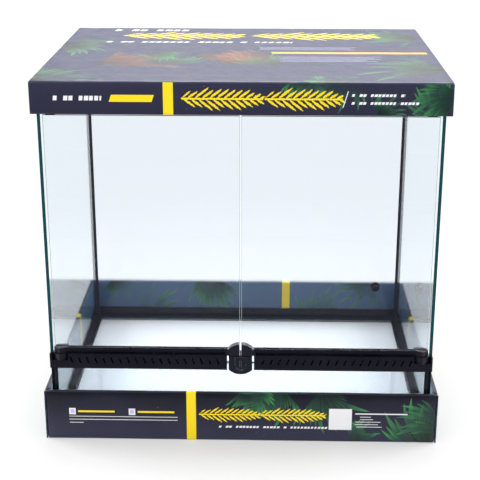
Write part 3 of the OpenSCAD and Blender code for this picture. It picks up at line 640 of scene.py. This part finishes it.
silicone, tree, held = blank("black silicone, tooled")
wave = add(tree, "TexNoise", {"Vector": held, "Scale": 1 / (22 * MM), "Detail": 1.0})
tooled = add(tree, "Bump", {"Height": wave, "Strength": 0.4, "Distance": 0.6 * MM})
bead = add(tree, "BsdfPrincipled", {
    "Base Color": linear("#060609"), "Roughness": 0.4, "IOR": 1.41, "Specular IOR Level": 0.2,
    "Normal": tooled})
add(tree, "OutputMaterial", {"Surface": bead})

side_face = float_glass("float glass, side", "#f2f9fb")
rear_face = float_glass("float glass, rear", "#f7fafc", 0.4)
# the floor pane's underside lies on the foam, so only its upper face mirrors
floor_face = float_glass("float glass, floor", "#fdfeff", 0.2)
lower_face = float_glass("float glass, lower front", "#e6edf4")
deep_edge = ground_edge("ground glass edge", "#04282c", "#0d5258")
bar_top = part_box("vent_bar_left")[1].z / MM
pane_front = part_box("front_lower_glass")[0].y / MM
SMEAR = 1                      # how far back the silicone is smeared on the side panes' front edges
pane("floor_glass", 2, "tank", "pane_glass", floor_face, deep_edge)
for side in ("left", "right"):
    # below the vent bar the front edges are smeared with the silicone that holds the lower pane
    pane(f"{side}_glass", 0, "tank", "pane_glass", side_face, deep_edge, silicone,
         smeared=lambda middle: middle.y < pane_front + SMEAR, top=bar_top)
pane("rear_glass", 1, "tank", "pane_glass", rear_face, deep_edge)
pane("front_lower_glass", 1, "tank", "pane_glass", lower_face, deep_edge)

# ---- silicone seams ----
# Black acetic silicone, gunned into the corners of the box and wiped to a fillet, glossy and slightly wavy.

moulding("silicone_seams", "tank", "black_silicone", silicone, 0.6, "fillets")

# ---- rear port ----
# A flanged grommet of black EPDM rubber round the hole in the rear pane, and the plug pushed into it.

rubber = moulded("black EPDM rubber", "#040406", "#08080b", 0.35, 1.4, 0.05, 0.2)
moulding("port_grommet", "tank", "black_rubber", rubber, 0.9, "ring")
moulding("port_plug", "plug", "black_rubber", rubber, 1.2, "cap")

# ---- vent bar ----
# Two halves of satin black ABS, clipped over the edge of the lower pane, with leaning slots for air and
# sockets for the lower hinges. Fine woven wire closes the air way behind the slots.


def upper_front(e):
    """Picks the edges along the top of a front face."""
    tops = {round(f.normal.z) for f in e.link_faces}
    return tops == {0, 1} and {round(f.normal.y) for f in e.link_faces} == {-1, 0}


SKIN = 0.15                    # the slots' walls start this far behind the bar's face
SLOT_DEEP = 2
bar_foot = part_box("vent_bar_left")[0].z / MM
slot_foot, slot_top = bar_foot + 3, bar_top - 3
bar_abs = moulded("black ABS, satin", "#08070f", "#100e1c", 0.3, 0.6, 0.03, 0.4)
# painted shade: a darker, duller copy of the black ABS for the walls inside the slots, so that they read as
# shadowed
slot_shade_abs = moulded("black ABS, painted shade inside the slots", "#020203", "#030305", 0.8, 0.6, 0.03, 0.05)
for side in ("left", "right"):
    bar = moulding(f"vent_bar_{side}", "tank", "black_plastic", bar_abs, 0.2)
    bar.data.materials.append(slot_shade_abs)
    face_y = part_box(f"vent_bar_{side}")[0].y / MM
    # painted shade: the walls inside the slots, between the face's skin and SLOT_DEEP, take the darker copy
    for polygon in bar.data.polygons:
        middle = polygon.center / MM
        in_slot_shade = face_y + SKIN < middle.y < face_y + SLOT_DEEP and abs(polygon.normal.y) < 0.3
        polygon.material_index = int(in_slot_shade and slot_foot < middle.z < slot_top)
    moulding(f"hinge_socket_{side}", "tank", "black_plastic", bar_abs, 0.5, chosen=upper_front, wide=1.6)


def drawn_wire(name, code, rough):
    """Drawn steel wire: fine die lines make its gloss uneven."""
    material, tree, held = blank(name)
    lines = add(tree, "TexNoise", {"Vector": held, "Scale": 1 / (1.5 * MM), "Detail": 2.0})
    gloss = add(tree, "MapRange", {"Value": lines, "To Min": rough - 0.07, "To Max": rough + 0.07})
    steel = add(tree, "BsdfPrincipled", {
        "Base Color": linear(code), "Metallic": 1.0, "Roughness": gloss.outputs[0]})
    add(tree, "OutputMaterial", {"Surface": steel})
    return material


bright_wire = drawn_wire("stainless steel, drawn", "#8a8a90", 0.3)
black_wire = drawn_wire("stainless steel, black oxide", "#0b0b0e", 0.55)

# Wire cloth: two layers of straight wires that cross at right angles, a wire apart, in any flat box.
cloth, given, wanted = group("wire cloth", "GeometryNodeTree", {
    "Geometry": "NodeSocketGeometry", "Finish": "NodeSocketMaterial",
    **dict.fromkeys(("Across", "Up", "Pitch", "Wire"), "NodeSocketFloat"),
}, {"Geometry": "NodeSocketGeometry"})
wire_r = add(cloth, "Math", {0: given["Wire"], 1: 0.5}, operation="MULTIPLY")
section = add(cloth, "GeometryNodeCurvePrimitiveCircle", {"Resolution": 4, "Radius": wire_r})
layers = []
for length, breadth, turn, sign in (("Across", "Up", 0.0, 1.0), ("Up", "Across", math.pi / 2, -1.0)):
    count = add(cloth, "Math", {0: given[breadth], 1: given["Pitch"]}, operation="DIVIDE")
    whole = add(cloth, "Math", {0: count}, operation="FLOOR")
    first = add(cloth, "Math", {0: whole, 1: -0.5}, operation="MULTIPLY")
    origin = add(cloth, "Math", {0: first, 1: given["Pitch"]}, operation="MULTIPLY")
    posts = add(cloth, "Math", {0: whole, 1: 1.0}, operation="ADD")
    level = add(cloth, "Math", {0: wire_r, 1: sign}, operation="MULTIPLY")
    rows = add(cloth, "GeometryNodeMeshLine", {
        "Count": posts, "Start Location": add(cloth, "CombineXYZ", {1: origin, 2: level}),
        "Offset": add(cloth, "CombineXYZ", {1: given["Pitch"]})}, mode="OFFSET")
    reach = add(cloth, "Math", {0: given[length], 1: 0.5}, operation="MULTIPLY")
    back = add(cloth, "Math", {0: reach, 1: -1.0}, operation="MULTIPLY")
    line = add(cloth, "GeometryNodeCurvePrimitiveLine", {
        "Start": add(cloth, "CombineXYZ", {0: back}),
        "End": add(cloth, "CombineXYZ", {0: reach})})
    strand = add(cloth, "GeometryNodeCurveToMesh", {
        "Curve": line, "Profile Curve": section, "Fill Caps": True})
    laid = add(cloth, "GeometryNodeInstanceOnPoints", {"Points": rows, "Instance": strand})
    layers.append(add(cloth, "GeometryNodeTransform", {"Geometry": laid, "Rotation": (0, 0, turn)}))
joined = add(cloth, "GeometryNodeJoinGeometry")
for layer in layers:
    cloth.links.new(layer.outputs[0], joined.inputs[0])
real = add(cloth, "GeometryNodeRealizeInstances", {0: joined})
coated = add(cloth, "GeometryNodeSetMaterial", {"Geometry": real, "Material": given["Finish"]})
cloth.links.new(coated.outputs[0], wanted["Geometry"])


def wire_cloth(node, upright, pitch, wire_d, finish, name):
    """A sheet of wire cloth in the middle of a CAD sheet's box, lying flat or upright."""
    low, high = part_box(node)
    size = high - low
    made = bpy.data.objects.new(name, bpy.data.meshes.new(name))
    bpy.context.scene.collection.objects.link(made)
    weave = made.modifiers.new("weave", "NODES")
    weave.node_group = cloth
    inputs = {"Across": size.x, "Up": size.z if upright else size.y, "Pitch": pitch * MM,
              "Wire": wire_d * MM, "Finish": finish}
    for item in cloth.interface.items_tree:
        if item.name in inputs and item.in_out == "INPUT":
            weave[item.identifier] = inputs[item.name]
    finished(made)
    stood = Matrix.Rotation(math.pi / 2 if upright else 0, 4, "X")
    made.data.transform(Matrix.Translation((low + high) / 2) @ stood)
    return made


# the cloth behind the slots is so dense that hardly any light passes through it
for side in ("left", "right"):
    mounted(wire_cloth(f"vent_mesh_{side}", True, 0.8, 0.66, black_wire, f"vent_cloth_{side}"),
            "tank", "steel_mesh", f"vent_mesh_{side}")

# ---- lock ----
# The lever turns on a steel pin in a small bracket over the pane's edge. A shield with a ridge down its
# middle is sunk in its polished face, straight from the mould.

moulding("lock_bracket", "tank", "black_plastic", bar_abs, 0.3)
moulding("lock_pin", "tank", "steel_pin", bright_wire, 0.2, "rod")
lever_abs = moulded("black ABS, polished tool", "#050409", "#0a0912", 0.17, 0.5, 0.012, 0.5, 1.0)
lever_front, lever_foot = (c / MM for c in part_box("lock_lever")[0].yz)
SHIELD_DEEP = 0.8              # the shield's floor lies this far behind the lever's face
SHIELD_Z = 136                 # the height of the shield's middle
DRAFT = 0.07                   # how far its upper and lower walls lean, as a share of their way from there
FLOOR_SHARE = 0.91             # the shield's floor is this much narrower than its mouth
RIDGE_HALF, RIDGE_SPREAD = 2, 2.2
RIB_HALF, RIB_SPREAD = 1, 2.0
ridge_foot = lever_foot + 10
rib_foot = bar_top - 2


def drafted(place):
    """Slopes the walls of the shield and of its ridge, and widens the rib between the door catches."""
    x, y, z = place
    if abs(y - lever_front - SHIELD_DEEP) < SHIELD_DEEP / 2 and lever_foot + 3 < z < bar_top - 1:
        if abs(x) < RIDGE_HALF and z > ridge_foot:
            return Vector((RIDGE_SPREAD * x, y, z + DRAFT * (z - SHIELD_Z)))
        return Vector((FLOOR_SHARE * x, y, z + DRAFT * (SHIELD_Z - z)))
    return Vector((RIB_SPREAD * x, y, z)) if z > rib_foot and abs(x) < RIB_HALF else place


moulding("lock_lever", "lever", "black_plastic", lever_abs, 0.2, moved=drafted)

# ---- doors ----
# Two 4 mm panes in black mouldings: a rail with a finger lip along the foot, a corner that turns in the
# hinge socket, half of the round lock, and a shoe for the upper pin. Each door turns on two steel pins.

door_face = float_glass("float glass, door", "#fafcff")
# painted highlight: the door panes' edges are a pale grey copy of the ground edge, standing in for light
# along their polished edges
door_edge_highlight = ground_edge("ground glass edge, door, painted highlight", "#8fa3aa", "#c2d0d4", 0.3)
for side in ("left", "right"):
    body = f"{side}_door"
    pane(f"door_glass_{side}", 1, body, "door_glass", door_face, door_edge_highlight)
    moulding(f"door_rail_{side}", body, "black_plastic", bar_abs, 0.5)
    moulding(f"door_corner_{side}", body, "black_plastic", bar_abs, 0.5, chosen=upper_front, wide=1.8)
    moulding(f"pivot_shoe_{side}", body, "black_plastic", bar_abs, 0.4)
    moulding(f"hinge_pins_{side}", body, "steel_pin", bright_wire, 0.3, "rods")
    moulding(f"door_catch_{side}", body, "black_plastic", lever_abs, 0.4)

# ---- top frame ----
# One deep moulding of the same black ABS, pushed down over the panes on silicone. Two gates slide in guides
# on its service deck to open the cable inlets.

moulding("top_frame", "tank", "frame_plastic", frame_abs, 0.6)
for side in ("left", "right"):
    moulding(f"inlet_gate_{side}", f"{side}_gate", "black_plastic", bar_abs, 0.5, "slide")

# ---- screen ----
# A lift-out lid of stainless wire cloth, moulded into a black frame. Its wires are 1.8 mm apart, which is
# coarser than real ones, so that they show.

moulding("screen_frame", "screen", "frame_plastic", frame_abs, 0.8)
mounted(wire_cloth("screen_mesh", False, 1.8, 0.4, black_wire, "screen_cloth"),
        "screen", "steel_mesh", "screen_mesh")

# ---- carton lid ----
# A single sheet of the same board, folded down on four sides and glued at the corners. It has been
# handled: the top sags between its creases, and the long folds are softly rounded.

lid_low, lid_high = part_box("lid_top")
lid_low = Vector((lid_low.x, lid_low.y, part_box("lid_front_wall")[0].z)) / MM
lid_high = lid_high / MM
LID_R = 3.5
BOARD = 3.0
LID_STRIPE = (7.3, 60)         # its half width, and a half height past the lid's edges
lid_mid = (lid_low.z + lid_high.z) / 2
LID_FRONT = ((lid_low.z, "#28283e"), (lid_high.z, "#2d2d45"))
LID_TOP = ((lid_low.y, "#16204c"), (lid_high.y, "#1a2450"))
lid_front_print = printed("varnished print, lid front", "XZ", LID_FRONT, tufts=[
    ("green", (300, 532), 150, 70, 60, 9, 18, 0.5), ("green", (316, 560), 190, 78, 46, 9, 18, -0.5),
    ("green", (150, 592), 250, 62, 60, 10, 15, 0.5), ("green", (200, 526), 60, 46, 50, 10, 14, 0.5),
    ("green", (90, 596), 270, 50, 50, 10, 14, -0.4),
], sprigs=[("yellow", (-86, 555), 118, 19, 10.5, 1.0), ("yellow", (34, 555), 112, 19, 10.5, 1.0),
], bars=[
    ("yellow", (-104.5, lid_mid), LID_STRIPE, 0), ("yellow", (-157.5, 555), (31, 5.2), 0.35),
    ("white", (151, 555), (0.6, 12), 0.3),
], rows=[("white", (160, 561), 76, 1.9, 5.4, 0.35), ("white", (160, 549.5), 102, 1.9, 5.4, 0.35),
    ("white", (-271, 555), 70, 3.4, 7.5, 0.1),
])
lid_top_print = printed("varnished print, lid top", "XY", LID_TOP, tufts=[
    ("green", (-315, -240), 30, 130, 60, 8, 24, 0.5), ("green", (-312, 60), -10, 110, 60, 8, 22, 0.5),
    ("green", (300, 150), 190, 120, 60, 8, 24, 0.5), ("green", (310, -150), 160, 150, 50, 8, 24, -0.5),
    ("green", (150, -236), 120, 70, 60, 8, 17, 0.4),
    ("rust", (-225, -110), 35, 150, 44, 13, 13, 0.6), ("green", (-130, -115), 70, 110, 50, 11, 15, -0.5),
    ("rust", (-90, -20), -20, 130, 30, 14, 12, 0.4), ("green", (-160, -10), -30, 90, 40, 12, 13, 0.5),
    ("rust", (-30, -115), 60, 130, 40, 13, 13, -0.6), ("rust", (70, -40), 168, 120, 32, 13, 13, 0.5),
    ("green", (60, -115), 125, 110, 42, 11, 15, 0.5),
], sprigs=[("yellow", (-215, 150), 205, 44, 24, 1.0), ("yellow", (10, 150), 215, 44, 24, 1.0),
], bars=[
    ("amber", (170, -6), (125, 7), -0.12),
    *[("lilac", (60 + 0.55 * half, 42 - 9 * i), (half, 0.8), 0) for i, half in enumerate((80, 74, 78))],
    *[("lilac", (92 + 0.55 * half, -40 - 9 * i), (half, 0.8), 0)
      for i, half in enumerate((82, 74, 80, 66, 76))],
], rows=[("white", (-235, 205), 135, 7, 15, 0.2), ("white", (-235, 88), 315, 5, 12, 0.4)])
lid_back_print = printed("varnished print, lid back", "XZ", LID_FRONT, tufts=[
    ("green", (-300, 532), 40, 76, 60, 9, 18, 0.5), ("green", (120, 592), 260, 62, 60, 10, 15, 0.5),
], sprigs=[("yellow", (-94, 555), 190, 19, 10.5, 1.0)], bars=[("yellow", (104.5, lid_mid), LID_STRIPE, 0)])
lid_side_print = printed("varnished print, lid ends", "YZ", LID_FRONT, tufts=[
    ("green", (-232, 532), 40, 76, 60, 9, 18, 0.5), ("green", (120, 592), 260, 62, 60, 10, 15, 0.5),
], bars=[("yellow", (60, lid_mid), LID_STRIPE, 0)])

FOLD_Y, FOLD_X = -196, -262    # where the top's soft folds run: along its front, and across its left end
FOLD_HALF_Y, FOLD_HALF_X = 16, 13
FOLD_DEEP = 0.6
FOLD_SWAY, FOLD_WAVE = 5, 90   # how far the long fold sways to and fro, and how fast
FOLD_SLANT = 0.06
CUT_OFF = 12                   # the slab reaches this far below the walls, and is cut off there


def soft_folds(place, out):
    """The dent of the lid: handled board, with one soft fold along its top and one across it."""
    place = handled(0.9, 40)(place, out)
    if out.z > 0.9:
        along = 1 - abs(place.y - FOLD_Y + FOLD_SWAY * math.sin(place.x / FOLD_WAVE)) / FOLD_HALF_Y
        across = 1 - abs(place.x - FOLD_X + FOLD_SLANT * place.y) / FOLD_HALF_X
        place = place - out * FOLD_DEEP * max(0, along, across) ** 2
    return place


form = bmesh.new()
slab(form, lid_low - Vector((0, 0, CUT_OFF)), lid_high, LID_R, 7, soft_folds)
bmesh.ops.bisect_plane(form, geom=[*form.verts, *form.edges, *form.faces], plane_co=(0, 0, lid_low.z * MM),
                       plane_no=(0, 0, -1), clear_outer=True)
form.normal_update()
lid_prints = [lid_top_print, lid_front_print, lid_back_print, lid_side_print]
for face in form.faces:
    x, y, z = face.normal
    face.material_index = 0 if z > UPWARD else (1 if y < 0 else 2) if abs(y) > abs(x) else 3
lid = solid("carton_lid", form, *lid_prints, kraft)
shell = lid.modifiers.new("board", "SOLIDIFY")
shell.thickness = BOARD * MM
shell.offset = -1
shell.material_offset = shell.material_offset_rim = len(lid_prints)
finished(lid)
mounted(lid, "lid", "carton_board", *[f"lid_{part}" for part in
        ("top", "front_wall", "rear_wall", "left_wall", "right_wall")])

# ---- studio ----
# A white sweep under and behind the object, six soft lamps, and a dim room in front of it that glossy
# surfaces mirror. The floor turns from lit card to plain white away from the object.

ROOM = linear("#787a90")
ROOM_Y = (-0.26, -0.45)        # metres: the dim room starts just in front of the tray
CARD_R = (0.4, 1.0)            # metres from the middle over which the card turns to plain white


def rays(tree):
    """Tells the rays that have been mirrored, and the rays that see, not light."""
    seen = add(tree, "LightPath")
    # a look straight through glass counts as a glossy ray too, but it has no glossy depth
    mirrored = add(tree, "Math", {0: seen.outputs["Glossy Depth"], 1: 0.5}, operation="GREATER_THAN")
    through = add(tree, "Math", {
        0: seen.outputs["Is Camera Ray"], 1: seen.outputs["Is Transmission Ray"]}, operation="MAXIMUM")
    looking = add(tree, "Math", {0: through, 1: seen.outputs["Is Glossy Ray"]}, operation="MAXIMUM")
    return mirrored, looking


form = bmesh.new()
bmesh.ops.create_grid(form, x_segments=1, y_segments=1, size=20)
sweep, tree, held = blank("white studio sweep")
mirrored, looking = rays(tree)
place = add(tree, "SeparateXYZ", {0: held})
away = add(tree, "VectorMath", {0: held}, operation="LENGTH").outputs["Value"]
fade = add(tree, "MapRange", {
    "Value": away, "From Min": CARD_R[0], "From Max": CARD_R[1], "To Min": 0.35, "To Max": 1.0})
share = add(tree, "Math", {0: looking, 1: fade}, operation="MULTIPLY")
card = add(tree, "BsdfDiffuse", {"Color": (0.66, 0.66, 0.66, 1)})
white = add(tree, "Emission", {"Strength": 1.06})
bright = add(tree, "MixShader", {0: share, 1: card, 2: white})
dim = add(tree, "Emission", {"Color": ROOM})
front = add(tree, "MapRange", {
    "Value": place.outputs[1], "From Min": ROOM_Y[0], "From Max": ROOM_Y[1]})
flagged = add(tree, "Math", {0: front, 1: mirrored}, operation="MULTIPLY")
add(tree, "OutputMaterial", {"Surface": add(tree, "MixShader", {0: flagged, 1: bright, 2: dim})})
solid("studio_floor", form, sweep)

world = bpy.data.worlds.new("studio")
bpy.context.scene.world = world
world.use_nodes = True
tree = world.node_tree
tree.nodes.clear()
mirrored, looking = rays(tree)
# the dim room reaches all round the front, but not overhead
toward = add(tree, "SeparateXYZ", {0: add(tree, "TexCoord").outputs["Generated"]})
front = add(tree, "MapRange", {"Value": toward.outputs[1], "From Min": 0.1, "From Max": -0.4})
low = add(tree, "MapRange", {"Value": toward.outputs[2], "From Min": 0.75, "From Max": 0.45})
room = add(tree, "Math", {0: front, 1: low}, operation="MULTIPLY")
flagged = add(tree, "Math", {0: room, 1: mirrored}, operation="MULTIPLY")
wall = add(tree, "Mix", {"Factor": flagged, "A": (1, 1, 1, 1), "B": ROOM}, data_type="RGBA")
strength = add(tree, "MapRange", {"Value": looking, "To Min": 0.9, "To Max": 1.0})
add(tree, "OutputWorld", {"Surface": add(tree, "Background", {
    "Color": wall.outputs["Result"], "Strength": strength.outputs[0]})})

# metres and watts
for name, place, aim, size, power in (
    ("key", (-1.6, -1.9, 1.7), (0, 0, 0.25), 1.6, 11), ("fill", (1.9, -1.7, 1.1), (0, 0, 0.25), 1.6, 8),
    ("top", (0, -1.0, 2.4), (0, -0.1, 0.3), 0.9, 5), ("back", (0.1, 2.0, 2.4), (0, 0, 0.3), 1.8, 35),
    ("left side", (-2.1, 0.5, 1.3), (0, 0, 0.1), 1.2, 46),
    ("right side", (2.1, 0.5, 1.3), (0, 0, 0.1), 1.2, 46),
):
    lamp = bpy.data.objects.new(name, bpy.data.lights.new(name, "AREA"))
    lamp.data.size = size
    lamp.data.energy = power
    lamp.location = place
    lamp.rotation_euler = (Vector(place) - Vector(aim)).to_track_quat("Z", "Y").to_euler()
    bpy.context.scene.collection.objects.link(lamp)

# a long lens, a little above the object and turned down to it
camera = bpy.data.objects.new("camera", bpy.data.cameras.new("camera"))
camera.data.lens = 84.72
camera.data.shift_y = -0.06
camera.location = (0.0389, -1.8215, 0.9215)
camera.rotation_euler = (math.pi / 2 - 0.3255, 0, 0.0249)
bpy.context.scene.collection.objects.link(camera)
bpy.context.scene.camera = camera
bpy.context.scene.view_settings.view_transform = "Standard"
